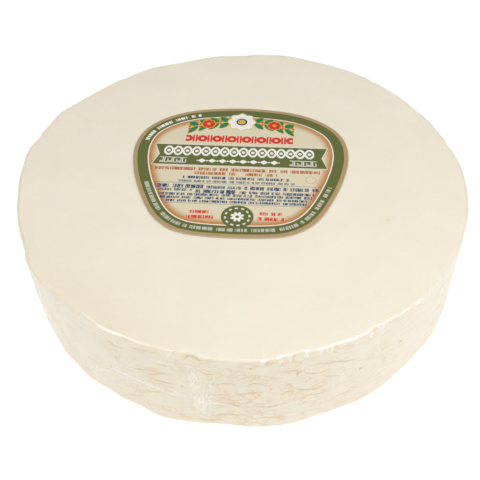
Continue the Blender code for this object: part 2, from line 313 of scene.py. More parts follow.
def skin_mesh(name, points, fields):
    """A mesh of quads between neighbouring rows and columns of points, closed round the columns,
    with one point at each end of the rows. Fields become attributes on its points."""
    rows, columns = points.shape[:2]
    count = rows * columns
    ends = points[[0, -1]].mean(axis=1)
    corners = np.concatenate([points.reshape(-1, 3), ends]) * MM
    grid = np.arange(count).reshape(rows, columns)
    after = np.roll(grid, -1, axis=1)
    quads = np.stack([grid[:-1], grid[1:], after[1:], after[:-1]], axis=-1).reshape(-1, 4)
    first = np.stack([grid[0], after[0], np.full(columns, count)], axis=-1)
    last = np.stack([after[-1], grid[-1], np.full(columns, count + 1)], axis=-1)
    mesh = bpy.data.meshes.new(name)
    mesh.from_pydata(corners, [], quads.tolist() + first.tolist() + last.tolist())
    for field, values in fields.items():
        at_ends = values[[0, -1]].mean(axis=1)
        attribute = mesh.attributes.new(field, "FLOAT", "POINT")
        attribute.data.foreach_set("value", np.concatenate([values.ravel(), at_ends]))
    mesh.shade_smooth()
    return add_object(name, mesh)


def curd_relief(angle, height, side):
    """The curd's relief: grooves, lips, pits, creases and slow waves on the wall, and the nicks in
    its rim, all a little under the film."""
    groove, lips, nearest, strength = crack_fields(angle, height)
    creases, crease_lines = crease_relief(angle, height)
    pits, nicks = pit_relief(angle, height), nick_relief(angle, height)
    shown = 1 - SMOOTHED * bumps_round(angle, SMOOTH_STRETCHES)
    crumbly = crumb(angle, height) * side
    wall = SOFTENED * (shown * (groove + lips) + creases) + pits + wave_relief(angle, height)
    fields = {
        "over_crack": nearest,
        "crack": strength * side * shown,
        "crease": crease_lines * crumbly,
        "pit": np.clip(-pits, 0, 1) * side,
        "nick": np.clip(-nicks, 0, 1.5) * side,
        "side": side,
        "shown": shown,
        "crumbly": crumbly,
    }
    return wall * side + nicks * np.sqrt(side) - CURD_UNDER_FILM, fields


curd_points, curd_fields = round_the_wheel(curd_relief)
skin_low, skin_high = curd_points.min(axis=(0, 1)), curd_points.max(axis=(0, 1))
wheel_axis = ((wheel_low + wheel_high) / 2 - (skin_low + skin_high) / 2) * (1, 1, 0)
curd = skin_mesh("curd", curd_points + wheel_axis, curd_fields)


def operator(operation, order=1):
    """A method that adds a Math node, with its terms in turn or, for an order of -1, reversed."""
    def operate(self, *others):
        terms = (self, *others)[::order]
        return self.paint.node("ShaderNodeMath", {"operation": operation}, terms)
    return operate


class Signal:
    """A shader socket in an expression. Each operator adds the Math node that works it out."""

    def __init__(self, paint, socket):
        self.paint = paint
        self.socket = socket

    __add__ = __radd__ = operator("ADD")
    __sub__, __rsub__ = operator("SUBTRACT"), operator("SUBTRACT", -1)
    __mul__ = __rmul__ = operator("MULTIPLY")
    __truediv__ = operator("DIVIDE")
    __pow__ = operator("POWER")
    __mod__ = operator("FLOORED_MODULO")
    __abs__ = operator("ABSOLUTE")
    # The lesser of two, and the greater: for distances to shapes, either shape, and both at once
    __or__, __and__ = operator("MINIMUM"), operator("MAXIMUM")
    wave, exponential = operator("SINE"), operator("EXPONENT")

    def bell(self, spread):
        """exp(-(value / spread)^2)"""
        return (-1 * (self / spread) ** 2).exponential()

    def rise(self, low, high):
        """0 up to low, 1 from high on, and eased between them."""
        settings = {"interpolation_type": "SMOOTHSTEP"}
        return self.paint.node("ShaderNodeMapRange", settings, (self, low, high))


class Paint:
    """A material, or a world, under construction: node() adds any node, and the rest are short
    names for it."""

    def __init__(self, name, kind=bpy.data.materials):
        self.made = kind.new(name)
        self.made.use_nodes = True
        self.tree = self.made.node_tree
        self.tree.nodes.clear()

    def node(self, kind, settings, sockets, output=0):
        """Adds a node: its settings first, and then its sockets' values or links, by place or by
        name. Returns one of its outputs, where it has any."""
        made = self.tree.nodes.new(kind)
        for name, value in settings.items():
            setattr(made, name, value)
        for place, value in sockets.items() if isinstance(sockets, dict) else enumerate(sockets):
            if isinstance(value, Signal):
                self.tree.links.new(value.socket, made.inputs[place])
            else:
                made.inputs[place].default_value = value
        return Signal(self, made.outputs[output]) if made.outputs else None

    def field(self, name):
        """A field of the mesh's points, by name."""
        return self.node("ShaderNodeAttribute", {"attribute_name": name}, {}, "Fac")

    def place(self, stretch=(1, 1, 1)):
        """Object coordinates in millimetres, each axis squeezed by its stretch."""
        at = self.node("ShaderNodeTexCoord", {}, {}, "Object")
        scale = tuple(1 / MM / part for part in stretch)
        return self.node("ShaderNodeMapping", {}, {"Vector": at, "Scale": scale})

    def noise(self, at, size, detail=2, roughness=0.5, output="Fac"):
        """Noise whose lumps are about size millimetres across."""
        sockets = {"Vector": at, "Scale": 1 / size, "Detail": detail, "Roughness": roughness}
        return self.node("ShaderNodeTexNoise", {}, sockets, output)

    def pushed(self, at, size, reach):
        """A place pushed about by noise, so that a cell pattern on it has uneven edges."""
        push = self.noise(at, size, 2, 0.6, "Color")
        settings = {"operation": "MULTIPLY_ADD"}
        return self.node("ShaderNodeVectorMath", settings, (push, (reach, reach, reach), at))

    def parts(self, at):
        """The three coordinates of a place."""
        return [self.node("ShaderNodeSeparateXYZ", {}, (at,), axis) for axis in "XYZ"]

    def blend(self, share, under, over):
        """The colour under, changed to over by the share."""
        return self.node("ShaderNodeMix", {"data_type": "RGBA"}, {0: share, 6: under, 7: over}, 2)

    def bump(self, height, distance, strength):
        """The normal over a relief whose height 1 stands for the distance."""
        sockets = {"Strength": strength, "Distance": distance, "Height": height}
        return self.node("ShaderNodeBump", {}, sockets)

    def surface(self, shader, kind="ShaderNodeOutputMaterial"):
        """Ends the material or world with its shader, and returns it."""
        self.node(kind, {}, {"Surface": shader})
        return self.made


def length(x, y):
    """sqrt(x^2 + y^2)"""
    return (x**2 + y**2) ** 0.5


def colour(red, green, blue):
    """A linear colour from 0 to 255 parts: c/12.92 where dark, else ((c + 0.055)/1.055)^2.4."""
    parts = np.array([red, green, blue]) / 255
    linear = np.where(parts < 0.04045, parts / 12.92, ((parts + 0.055) / 1.055) ** 2.4)
    return (*linear.tolist(), 1)


CURD_CREAM = colour(246, 237, 217)
CURD_WHITE = colour(248, 240, 221)
# A greyer curd for streaks and blotches, also used as the painted shade along the rim
CURD_SHADE = colour(236, 222, 196)
CURD_DRY = colour(229, 205, 168)
CRACK_TAN = colour(218, 168, 78)
CRACK_LINE = 0.55
# How strongly the flank shows its level streaks, shade, blotches, dry spots and pale flecks
STREAKS, CRUMBLY_SHADE, BLOTCHES, DRY_SPOTS, FLECKS = 0.42, 0.1, 0.42, 0.4, 0.4
# How strongly cracks, the net between lumps, creases, pits, nicks and the pit on top are stained
CRACK_STAIN, NET_STAIN, CREASE_STAIN = 0.85, 0.42, 0.34
PIT_STAIN, NICK_STAIN, HOLE_STAIN = 0.8, 0.85, 0.35
NET_CELL = 3.7
# How strongly the painted shade along the rim, the marks on top and its warmer edge show
PAINTED_RIM_SHADE, TOP_MARKS, WARMTH = 2.6, 0.16, 0.26
# On top, in millimetres from the axis: a small pit, and the place where the edge is warmer
TOP_PIT, TOP_PIT_RADIUS = (78.9, -36.1), 1.3
WARM_EDGE, WARM_WIDTH = (-78, -100), 46


def curd_material():
    """Cream paste with faint paler clouds. The flank has level streaks of greyer and drier curd,
    and finer flecks. Cracks, pits and nicks are tan, with a finer broken net of the same tan
    between the lumps. The top has faint marks, one warmer stretch of edge, and a pit."""
    curd = Paint("pressed_curd")
    at, flat, level = curd.place(), curd.place((1.7, 1.7, 1)), curd.place((3, 3, 1))
    side, crumbly = curd.field("side"), curd.field("crumbly")
    x, y, _ = curd.parts(at)
    streaks = curd.noise(level, 1.7, 4, 0.62)
    blotches = curd.noise(flat, 7, 4, 0.6)
    dry = curd.noise(level, 1.5, 3, 0.6).rise(0.55, 0.7) * blotches.rise(0.4, 0.6)
    flecks = curd.noise(flat, 1.2, 2, 0.6).rise(0.58, 0.7)

    ragged = curd.noise(at, 1.3, 3, 0.7)
    line = (curd.field("over_crack") + (ragged - 0.5) * 1.1).bell(CRACK_LINE)
    net = curd.node("ShaderNodeTexVoronoi", {"feature": "DISTANCE_TO_EDGE"},
                    {"Vector": curd.pushed(flat, 3, 3.4), "Scale": 1 / NET_CELL})
    broken = curd.noise(flat, 6.5, 2).rise(0.42, 0.59)
    creases = curd.field("crease").rise(0.35, 1) * ragged.rise(0.35, 0.65)
    stain = (line * curd.field("crack") * ragged.rise(0.2, 0.5) * CRACK_STAIN
             & (1 - net.rise(0, 0.12)) * broken * crumbly * NET_STAIN
             & creases * CREASE_STAIN
             & curd.field("pit").rise(0.2, 0.6) * PIT_STAIN
             & curd.field("nick").rise(0.6, 1.3) * ragged.rise(0.38, 0.6) * NICK_STAIN)

    top, out = 1 - side, length(x, y)
    # Painted shade along the rounded rim, so that it doesn't show as a lit line, less where the
    # flank is smooth
    rim = side * top * curd.field("shown")
    marks = curd.noise(at, 2.6, 3, 0.6).rise(0.5, 0.7) * out.rise(30, 120) * top
    warm = out.rise(98, 124) * length(x - WARM_EDGE[0], y - WARM_EDGE[1]).bell(WARM_WIDTH)
    hole = length(x - TOP_PIT[0], y - TOP_PIT[1]).bell(TOP_PIT_RADIUS) * top

    colours = CURD_CREAM
    for share, tint in (
            (curd.noise(at, 30, 3).rise(0.35, 0.7), CURD_WHITE),
            (streaks.rise(0.44, 0.68) * crumbly * STREAKS, CURD_SHADE),
            (crumbly * CRUMBLY_SHADE, CURD_SHADE),
            (blotches.rise(0.48, 0.75) * crumbly * BLOTCHES, CURD_SHADE),
            (dry * crumbly * DRY_SPOTS, CURD_DRY),
            (flecks * side * FLECKS, CURD_WHITE),
            (rim * PAINTED_RIM_SHADE, CURD_SHADE),
            (marks * TOP_MARKS, CURD_SHADE),
            (warm * top * WARMTH, CURD_DRY),
            (stain & hole * HOLE_STAIN, CRACK_TAN)):
        colours = curd.blend(share, colours, tint)

    grain = curd.noise(at, 0.7, 4, 0.6) * 0.4 + streaks * crumbly * 0.6 - stain * 0.15 - hole * 1.5
    settings = {"subsurface_method": "RANDOM_WALK"}
    return curd.surface(curd.node("ShaderNodeBsdfPrincipled", settings, {
        "Base Color": colours,
        "Roughness": curd.noise(at, 2, 2).rise(0, 1) * 0.2 + 0.55,
        "Specular IOR Level": 0.2,
        "Subsurface Weight": 0.2,
        "Subsurface Radius": (1, 0.75, 0.45),
        "Subsurface Scale": 1.6 * MM,
        "Normal": curd.bump(grain, 0.12 * MM, 0.6),
    }))


curd.data.materials.append(curd_material())
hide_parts("cheese_wheel")
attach(curd, "root")


# The clear film
#
# A sheet of clear plastic shrunk tight round the whole wheel. It bridges the cracks, pulls sharp
# over parts of the rim and is slack over others. In front its edges are gathered into a whitish
# knot with pleats that run out from it.

# Pleats in front and behind, each from one angle and height to another: bow, half width, height
# of the ridge, and how white it is
PLEATS = (
    (238.5, 27.2, 257.5, 25.8, 0.8, 2.2, 0.02, 0.66), (232.3, 16.8, 240, 26, -0.6, 1.2, 0.04, 0.4),
    (247, 29, 259.5, 22.5, 0.5, 1.4, 0.05, 0.5), (260, 24, 259.1, 45.5, 0.5, 1.2, 0.2, 0.6),
    (260.6, 26, 256.8, 50.5, -1, 1.1, 0.15, 0.5), (261.6, 30, 259.2, 48, 1.2, 1, 0.15, 0.45),
    (262.9, 38, 264, 47, 0.3, 0.8, 0.1, 0.35), (261.4, 22.8, 268.2, 20.6, 0.3, 0.9, 0.15, 0.75),
    (261.2, 25.2, 264.8, 23.4, 0.2, 0.7, 0.1, 0.55), (260.2, 24, 261.2, 9, 0.4, 2.2, 0.3, 0.85),
    (259.4, 22, 258.8, 11, -0.5, 1.2, 0.15, 0.35), (264, 36.2, 266.2, 37.6, 0.2, 0.7, 0.06, 0.3),
    (290.7, 34, 290.3, 12, 0.5, 1.8, 0.04, 0.2), (300.5, 51, 300.9, 38, 0.4, 1.3, 0.04, 0.2),
    (223.5, 48, 233, 20, 3, 1.8, 0.01, 0.14), (219, 42, 226, 14, 3, 2, 0.01, 0.12),
    (74, 8, 78, 52, 1.6, 1.6, 0.3, 0.5), (78, 30, 96, 26, -1.5, 1, 0.12, 0.4),
    (77, 31, 60, 38, 1.2, 1, 0.12, 0.4), (150, 50, 158, 12, 2, 1.6, 0.2, 0.3),
    (12, 12, 4, 47, -2, 1.5, 0.2, 0.3),
)
PLEAT_REACH = 5
SAG_INTO_CRACKS = 0.2
# The knot, and the ribbon of gathered film that runs up from it to the rim: angles and heights,
# and half sizes in millimetres
KNOT_ANGLE, KNOT_HEIGHT, KNOT_HALF_WIDTH, KNOT_HALF_HEIGHT = 260.8, 22.5, 4.2, 7.5
RIBBON_TOP_ANGLE, RIBBON_TOP, RIBBON_HALF_WIDTH = 258.2, 51, 4.2
KNOT_BLOOM, RIBBON_BLOOM = 1.15, 0.3

# Where the film is pulled sharp over the rim, which also places the painted glint: angle, half
# length in degrees, and how tight
TIGHT_RIM = (
    (231.5, 0.5, 0.7), (242, 8.8, 0.72), (254.2, 0.9, 1), (261.3, 1, 0.9), (274.1, 0.9, 0.9),
    (278.6, 1.6, 1), (283.5, 0.5, 1), (287, 1.2, 1), (289.3, 0.4, 0.9), (294.5, 4.2, 1),
    (301.4, 1, 1), (306.2, 3.4, 0.95), (313, 1.8, 0.95), (319.3, 1.9, 1.08), (326, 3, 0.8),
    (336, 3, 0.8), (350, 5, 0.8), (8, 6, 0.9), (30, 7, 0.8), (55, 5, 0.9), (80, 6, 0.7),
    (104, 8, 0.9), (130, 6, 0.8), (157, 7, 0.9), (180, 5, 0.7), (200, 4, 0.8), (216, 2, 0.6),
)
# Short folds of film across the rim, which catch the light and carry a painted glint: angle, half
# width and height
RIM_FOLDS = (
    (232.4, 1.1, 0.4), (254.2, 1.6, 0.6), (261.3, 1.4, 0.4), (273.9, 1.4, 0.55), (277.7, 1.4, 0.6),
    (279.8, 1.5, 0.55), (283.3, 1.2, 0.8), (286.6, 1.5, 0.55), (288.8, 1.2, 0.5),
    (298.4, 1.3, 0.9), (301.6, 1.5, 0.5), (306.5, 1.6, 0.35), (313.6, 1.4, 0.5),
    (316.8, 1.1, 0.35), (319.6, 1.9, 0.3), (322.4, 1.2, 0.3), (46, 1.4, 0.6), (93, 1.5, 0.6),
    (142, 1.4, 0.6), (171, 1.3, 0.5), (214, 1.4, 0.4),
)
# Over how many degrees a tight stretch ends, how far folds and wrinkles reach down from the rim,
# and how high a fold is where it shows as fully tight
TIGHT_ENDS = 0.6
FOLD_REACH_DOWN, WRINKLE_REACH_DOWN, FOLD_FULL = 3.8, 5, 0.55
WRINKLE, RIPPLE, FINE_RIPPLE = 0.1, 0.025, 0.015
# How much of the curd's lips and nicks the film follows, and where it is drawn into level streaks
LIPS_FOLLOWED, NICKS_FOLLOWED = 0.45, 0.7
DRAWN_STRETCH = ((243, 17, 0.7),)


def pleat_fields(angle, height):
    """Ridge and whiteness of the pleats. Each is a bell-shaped ridge along a bowed line from one
    point of the side to another, full in its first half and thinned out to its far end. Returns
    the ridges, the distance to the strongest pleat's line, and how strongly that line shows."""
    ridges, nearest, strength = np.zeros((3, *angle.shape))
    for angle_0, height_0, angle_1, height_1, bow, half_width, rise, white in PLEATS:
        run = np.array([along_side(angle_1, angle_0), height_1 - height_0])
        span = np.hypot(*run)
        across, up = along_side(angle, angle_0), height - height_0
        along = (across * run[0] + up * run[1]) / span**2
        off_line = (up * run[0] - across * run[1]) / span - bow * 4 * along * (1 - along)
        ends = ease((along + 0.06) / 0.12) * ease((1.02 - along) / 0.5)
        ridges += rise * ends * bell(off_line, half_width)
        shows = white * ends * ease(2 * (1 - np.abs(off_line) / PLEAT_REACH))
        nearest = np.where(shows > strength, off_line / half_width, nearest)
        strength = np.maximum(shows, strength)
    return ridges, nearest, strength


def knot_field(angle, height):
    """How white the gathered film is: an upright oval bell for the knot, and a fainter ribbon from
    it up to the rim."""
    up = height - KNOT_HEIGHT
    knot = bell(along_side(angle, KNOT_ANGLE), KNOT_HALF_WIDTH) * bell(up, KNOT_HALF_HEIGHT)
    share = np.clip(up / (RIBBON_TOP - KNOT_HEIGHT), 0, 1)
    middle = KNOT_ANGLE + (RIBBON_TOP_ANGLE - KNOT_ANGLE) * share
    ribbon = bell(along_side(angle, middle), RIBBON_HALF_WIDTH)
    ribbon *= ease(up / 5) * ease((RIBBON_TOP + 4 - height) / 10)
    return np.maximum(KNOT_BLOOM * knot, RIBBON_BLOOM * ribbon)


def tightness(angle):
    """How tightly the film is drawn over the rim, from 0 to about 1: the most that any of the
    table's stretches gives, each with eased ends."""
    inside = [amount * ease(
        (half_length - np.abs(degrees_between(angle, middle))) / TIGHT_ENDS + 0.5)
        for middle, half_length, amount in TIGHT_RIM]
    return np.max(inside, axis=0)


def fold_relief(angle, height):
    """Short upright ridges of film over the rim, each a bell across its angle."""
    relief = sum(rise * bell(along_side(angle, middle), half_width)
                 for middle, half_width, rise in RIM_FOLDS)
    return relief * bell(WHEEL_HEIGHT - height, FOLD_REACH_DOWN)


def film_relief(angle, height, side):
    """The film's relief: it follows the curd's lips, waves and nicks, sags a little into grooves
    and pits, and stands up along its pleats. It is wrinkled over the rim where it is slack."""
    groove, lips, _, _ = crack_fields(angle, height)
    ridges, over_pleat, pleat = pleat_fields(angle, height)
    tight = tightness(angle)
    at_rim = bell(WHEEL_HEIGHT - height, WRINKLE_REACH_DOWN)
    wrinkles = WRINKLE * lumps(angle, height, 3.2, 6, 41) * (1 - tight) * at_rim
    ripples = RIPPLE * lumps(angle, height, 5, 7, 42)
    ripples += FINE_RIPPLE * lumps(angle, height, 2.4, 3.5, 43)
    wall = LIPS_FOLLOWED * lips + wave_relief(angle, height) + ridges + ripples
    wall += SAG_INTO_CRACKS * (groove + pit_relief(angle, height))
    patchy = 0.8 + 0.2 * lumps(angle, height, 4.5, 30, 44)
    over_rim = patchy * tight * 4 * side * (1 - side) * (height > WHEEL_HEIGHT / 2)
    folds = fold_relief(angle, height) * np.sqrt(side)
    fields = {
        "over_pleat": over_pleat,
        "pleat": pleat * side,
        "knot": knot_field(angle, height) * side,
        "tight": np.maximum(over_rim, np.clip(folds / FOLD_FULL, 0, 1)),
        "drawn": (0.3 + bumps_round(angle, DRAWN_STRETCH)) * side,
        "side": side,
    }
    rim = NICKS_FOLLOWED * nick_relief(angle, height) + wrinkles
    return wall * side + rim * np.sqrt(side) + folds, fields


film_points, film_fields = round_the_wheel(film_relief)
film = skin_mesh("film", film_points + wheel_axis, film_fields)

FILM_WHITE = colour(253, 248, 238)
# The gloss head on, and what the rim and a slant add to it; and how rough it is, slack and taut
FILM_HEAD_ON, FILM_AT_RIM, FILM_AT_SLANT = 0.05, 0.2, 0.25
FILM_SLACK, FILM_TAUT = 0.42, 0.14
# How white the bloom is on pleats, level streaks, smears and where the film is drawn tight, the
# last partly a painted glint
PLEAT_BLOOM, STREAK_BLOOM, SMEAR_BLOOM, TIGHT_BLOOM_AND_PAINTED_GLINT = 0.85, 0.08, 0.12, 0.8


def film_material():
    """Clear film: what is behind shows through it, apart from a gloss that is stronger where the
    film is seen at a slant or is drawn over the rim, and a white bloom on its pleats, its knot and
    faint smears. Level streaks show where it is drawn round the flank."""
    film = Paint("clear_film")
    at = film.place()
    ragged = film.noise(at, 1.1, 3, 0.65)
    pleats = (film.field("over_pleat") + (ragged - 0.5) * 0.8).bell(1) * film.field("pleat")
    streaked = film.noise(film.place((1, 1, 5)), 1.3, 3, 0.6)
    knot = film.field("knot") * streaked.rise(0.2, 0.6)
    level = film.noise(film.place((8, 8, 1)), 1.3, 3, 0.6).rise(0.5, 0.66) * film.field("drawn")
    smears = film.noise(film.place((1.6, 1.6, 0.6)), 5.5, 4, 0.6).rise(0.5, 0.8)
    faint = level * STREAK_BLOOM & smears * film.field("side") * SMEAR_BLOOM
    tight = film.field("tight")
    # Along the rim's crest where the film is drawn tight, the bloom is partly whitened film and
    # partly a painted glint
    haze = pleats * PLEAT_BLOOM & knot & faint & tight**6 * TIGHT_BLOOM_AND_PAINTED_GLINT
    rough = FILM_SLACK - (FILM_SLACK - FILM_TAUT) * tight
    normal = film.bump(film.noise(at, 9, 3) * 0.7 + film.noise(at, 1.6, 3) * 0.2, 0.15 * MM, 0.6)
    facing = film.node("ShaderNodeLayerWeight", {}, {}, "Facing")
    gloss = FILM_HEAD_ON + FILM_AT_RIM * tight + FILM_AT_SLANT * facing**5
    clear = film.node("ShaderNodeBsdfTransparent", {}, {})
    shine = film.node("ShaderNodeBsdfGlossy", {}, {
        "Color": (1, 1, 1, 1), "Roughness": rough, "Normal": normal})
    bloom = film.node("ShaderNodeBsdfDiffuse", {}, {"Color": FILM_WHITE, "Normal": normal})
    body = film.node("ShaderNodeMixShader", {}, (haze, clear, bloom))
    return film.surface(film.node("ShaderNodeMixShader", {}, (gloss, body, shine)))


film.data.materials.append(film_material())
# The curd is lit through the film as if it weren't there, so that a bloom on it only whitens
film.visible_shadow = False
film.visible_diffuse = False
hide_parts("cheese_wheel")
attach(film, "root")


# The label
#
# A die-cut label of printed film, stuck flat on the wrapped top. Tan and olive bands run round
# its edge, with a white line inside them; the cream field has a swallow-tailed olive banner, a
# garland above it, rows of small print below, and an olive disc at the foot.

label_low, label_high = (np.array(corner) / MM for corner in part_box("label"))
LABEL_TURN = np.radians(-3.9)
# One side of the outline from its top to its foot, in millimetres from its middle
LABEL_OUTLINE = (
    (0, 56.4), (14.9, 55.4), (30.4, 52.7), (45.8, 45.8), (58.1, 33.6), (62.9, 16.9), (61.5, 0),
    (57.3, -15.4), (51.6, -29.8), (43.5, -43.5), (30.6, -53), (15, -55.9), (0, -56.4),
)
LABEL_STEPS = 432
# Rings of the label's face: how far in from its edge, and then what share of the last one's size
RING_INSETS = (0, 0.1, 0.3, 0.6, 1, 2, 3, 4.5, 6, 8, 9.5, 11, 13, 16)
RING_SHARES = (0.85, 0.65, 0.42, 0.2, 0.04)
# How much farther from the edge the middle is than the last of the rings
MIDDLE_INSET = 40
EDGE_DROP, EDGE_WIDTH = 0.14, 0.35


def closed_spline(points, count):
    """Points evenly along a smooth closed curve through the given ones: a periodic cubic, whose
    slopes solve the usual ring of equations that makes its bend continuous."""
    points = np.array(points, float)
    ring = np.eye(len(points))
    system = 4 * ring + np.roll(ring, 1, axis=1) + np.roll(ring, -1, axis=1)
    bends = 3 * (np.roll(points, -1, axis=0) - np.roll(points, 1, axis=0))
    slopes = np.linalg.solve(system, bends)
    place = np.arange(count) * len(points) / count
    start = place.astype(int)
    end = (start + 1) % len(points)
    t = (place - start)[:, None]
    from_start = points[start] * (2 * t**3 - 3 * t**2 + 1) + slopes[start] * (t**3 - 2 * t**2 + t)
    from_end = points[end] * (3 * t**2 - 2 * t**3) + slopes[end] * (t**3 - t**2)
    return from_start + from_end


def label_sheet():
    """The label as a closed thin sheet: rings parallel to its outline, then rings that shrink to
    its middle, once for its face and once for its back. Its face's rim turns down a little."""
    other_side = [(-x, y) for x, y in reversed(LABEL_OUTLINE[1:-1])]
    outline = closed_spline(list(LABEL_OUTLINE) + other_side, LABEL_STEPS)
    after = np.roll(outline, -1, axis=0)
    along = after - np.roll(outline, 1, axis=0)
    along /= np.linalg.norm(along, axis=1)[:, None]
    inward = np.stack([along[:, 1], -along[:, 0]], axis=1)
    rings = [outline + inward * inset for inset in RING_INSETS]
    face = np.array(rings + [rings[-1] * share for share in RING_SHARES])
    inner_insets = [RING_INSETS[-1] + (1 - share) * MIDDLE_INSET for share in RING_SHARES]
    inset = np.repeat(np.array([*RING_INSETS, *inner_insets])[:, None], LABEL_STEPS, axis=1)
    step = np.linalg.norm(after - outline, axis=1)
    run = np.repeat([np.concatenate([[0], np.cumsum(step)[:-1]])], 2 * len(face), axis=0)

    face_height = label_high[2] - EDGE_DROP * np.exp(-inset / EDGE_WIDTH)
    back_height = np.full_like(inset, label_low[2])
    flat = np.concatenate([face[::-1], face])
    height = np.concatenate([face_height[::-1], back_height])
    cosine, sine = np.cos(LABEL_TURN), np.sin(LABEL_TURN)
    turned = flat @ np.array([[cosine, sine], [-sine, cosine]])
    middle = (label_low + label_high)[:2] / 2 - (turned.min((0, 1)) + turned.max((0, 1))) / 2
    points = np.dstack([turned + middle, height])
    fields = {
        "across": flat[..., 0],
        "up": flat[..., 1],
        "inset": np.concatenate([inset[::-1], inset]),
        "run": run,
        "printed": np.concatenate([np.ones_like(inset), np.zeros_like(inset)]),
    }
    return points[:, ::-1], {name: values[:, ::-1] for name, values in fields.items()}


label_points, label_fields = label_sheet()
label = skin_mesh("printed_label", label_points, label_fields)

LABEL_TAN = colour(178, 151, 108)
LABEL_OLIVE = colour(92, 100, 40)
LABEL_CREAM = colour(228, 218, 188)
LABEL_GLOW = colour(192, 122, 44)
LABEL_WHITE = colour(244, 242, 232)
LEAF_GREEN = colour(16, 128, 72)
DEEP_GREEN = colour(10, 96, 54)
GOLD = colour(216, 178, 62)
RED = colour(217, 42, 26)
NAVY = colour(10, 58, 104)
COPPER = colour(177, 97, 46)
PALE_TAN = colour(205, 190, 158)
CUT_EDGE_TAN = colour(208, 196, 176)
INK_EDGE = 0.16

# The bands, from the edge in, and the middle and half width of the print along the olive one
CUT_EDGE, TAN_BAND, OLIVE_BAND, WHITE_LINE, GLOW_WIDTH = 0.35, 2.6, 8.6, 9.3, 6
BAND_PRINT, BAND_PRINT_HALF = 5.6, 1.15
# The bars of a key border: middle and half sizes
KEY_BARS = (
    (0.3, 2.4, 0.3, 2.4), (2.4, 4.6, 2.3, 0.3), (4.6, 2.9, 0.3, 1.9), (3.4, 1.2, 1.4, 0.3),
    (2.2, 2, 0.3, 1), (2.6, 0.25, 2.6, 0.3),
)
BEAD_ROW, BEAD_PITCH = 25.4, 8.8
STEM_TOP, STEM_BEND = 42.4, 0.0068
LEAVES_FROM, LEAF_PITCH, LEAF_LEAN = 7.5, 6.2, 44
# The garland's flowers: place along it, radius, and the colours of the petals and the ring
FLOWERS = ((0, 8.4, LABEL_WHITE, NAVY), (-20, 4.1, RED, RED), (20, 4.1, RED, RED))
# Rows of small print by colour: from and to across, from and to up, pitch, gaps and, where it
# isn't full, strength
SMALL_PRINT = (
    (COPPER, ((-50.5, 48.5, -3.8, -1.2, 1.2, 0.37), (-25, -1.5, -7.3, -4.8, 1.2, 0.37),
              (4, 22, -7.3, -4.8, 1.2, 0.37))),
    (NAVY, ((-31.5, 29, -10.9, -8.7, 0.9, 0.38), (-33.5, 32, -13.9, -12.1, 0.7, 0.38, 0.85),
            (-46.5, -19, -19, -15.9, 1.4, 0.34), (-17.5, 3, -18.9, -16.5, 0.9, 0.38, 0.95),
            (4, 45, -19, -16.2, 1.2, 0.36), (-44, -25, -21.5, -19.5, 0.8, 0.38, 0.95),
            (-23, -7, -22.7, -19.9, 1.4, 0.34), (-6, -0.5, -23, -19.6, 2, 0.3),
            (1.5, 43, -22.5, -20.3, 0.8, 0.38), (-44, 42, -25.1, -23.1, 0.8, 0.38),
            (-43, 41, -27.7, -25.8, 0.8, 0.38), (-41, 40, -30.3, -28.4, 0.8, 0.37))),
    (RED, ((-25, -12.5, -38.9, -36.5, 1.2, 0.36), (-26.5, -11.5, -42.9, -40.3, 1.2, 0.36),
           (13, 25.5, -38.9, -36.5, 1.2, 0.36), (12.5, 27, -42.9, -40.3, 1.2, 0.36))),
)


def block(x, y, half_width, half_height):
    """The distance to an upright rectangle about the origin."""
    return (abs(x) - half_width) & (abs(y) - half_height)


class Print:
    """The label's print: shapes as signed distances in millimetres, laid one over the other."""

    def __init__(self, paint, under):
        self.paint = paint
        self.colours = under
        self.x, self.y = paint.field("across"), paint.field("up")
        self.worn = paint.noise(paint.place(), 0.55, 1, 0.5).rise(0.3, 0.46)

    def around(self, x, y):
        """The distance from a place on the label, and the bearing round it."""
        x, y = self.x - x, self.y - y
        return length(x, y), self.paint.node("ShaderNodeMath", {"operation": "ARCTAN2"}, (y, x))

    def ink(self, shape, tint, share=1):
        """Lays the tint where the shape's distance is negative, by the share."""
        cover = self.paint.node("ShaderNodeClamp", {}, (0.5 - shape / INK_EDGE,))
        self.colours = self.paint.blend(cover * share, self.colours, tint)

    def uneven(self, along):
        """Smooth noise along one coordinate."""
        sockets = {"W": along, "Scale": 1, "Detail": 0}
        return self.paint.node("ShaderNodeTexNoise", {"noise_dimensions": "1D"}, sockets)

    def strokes(self, at, seed, pitch, gap):
        """Broken dashes along a coordinate, as a distance: negative on a dash. They stand for
        small print. Seeded noise along the line sets their lengths."""
        long_ones = self.uneven(at / (pitch * 2.6) + seed * 7.3)
        short_ones = self.uneven(at / (pitch * 0.55) + seed * 3.1)
        return ((gap - long_ones) & (gap - short_ones)) * pitch * 5

    def row(self, seed, tint, x0, x1, y0, y1, pitch, gap, share=1):
        """A row of strokes in a box from x0, y0 to x1, y1."""
        x, y = self.x - (x0 + x1) / 2, self.y - (y0 + y1) / 2
        inside = block(x, y, (x1 - x0) / 2, (y1 - y0) / 2)
        self.ink(inside & self.strokes(self.x, seed, pitch, gap), tint, self.worn * share)


def plait(sheet):
    """A plait of two strands that cross, with a dot in each eye: each strand is a sine wave, and
    the distance to it is the height off the wave over the slope's length."""
    x, y = sheet.x + 1, sheet.y - 13.4
    swing, eye_gap, strand_half, dot_radius, half_length = 3.5, 5.5, 0.75, 1.15, 44
    turn = np.pi / eye_gap
    strand = (x * turn).wave() * swing
    slope = length((x * turn + np.pi / 2).wave() * (swing * turn), 1)
    strands = (abs(y - strand) | abs(y + strand)) / slope - strand_half
    dots = length(x % eye_gap - eye_gap / 2, y) - dot_radius
    return (strands | dots) & (abs(x) - half_length)


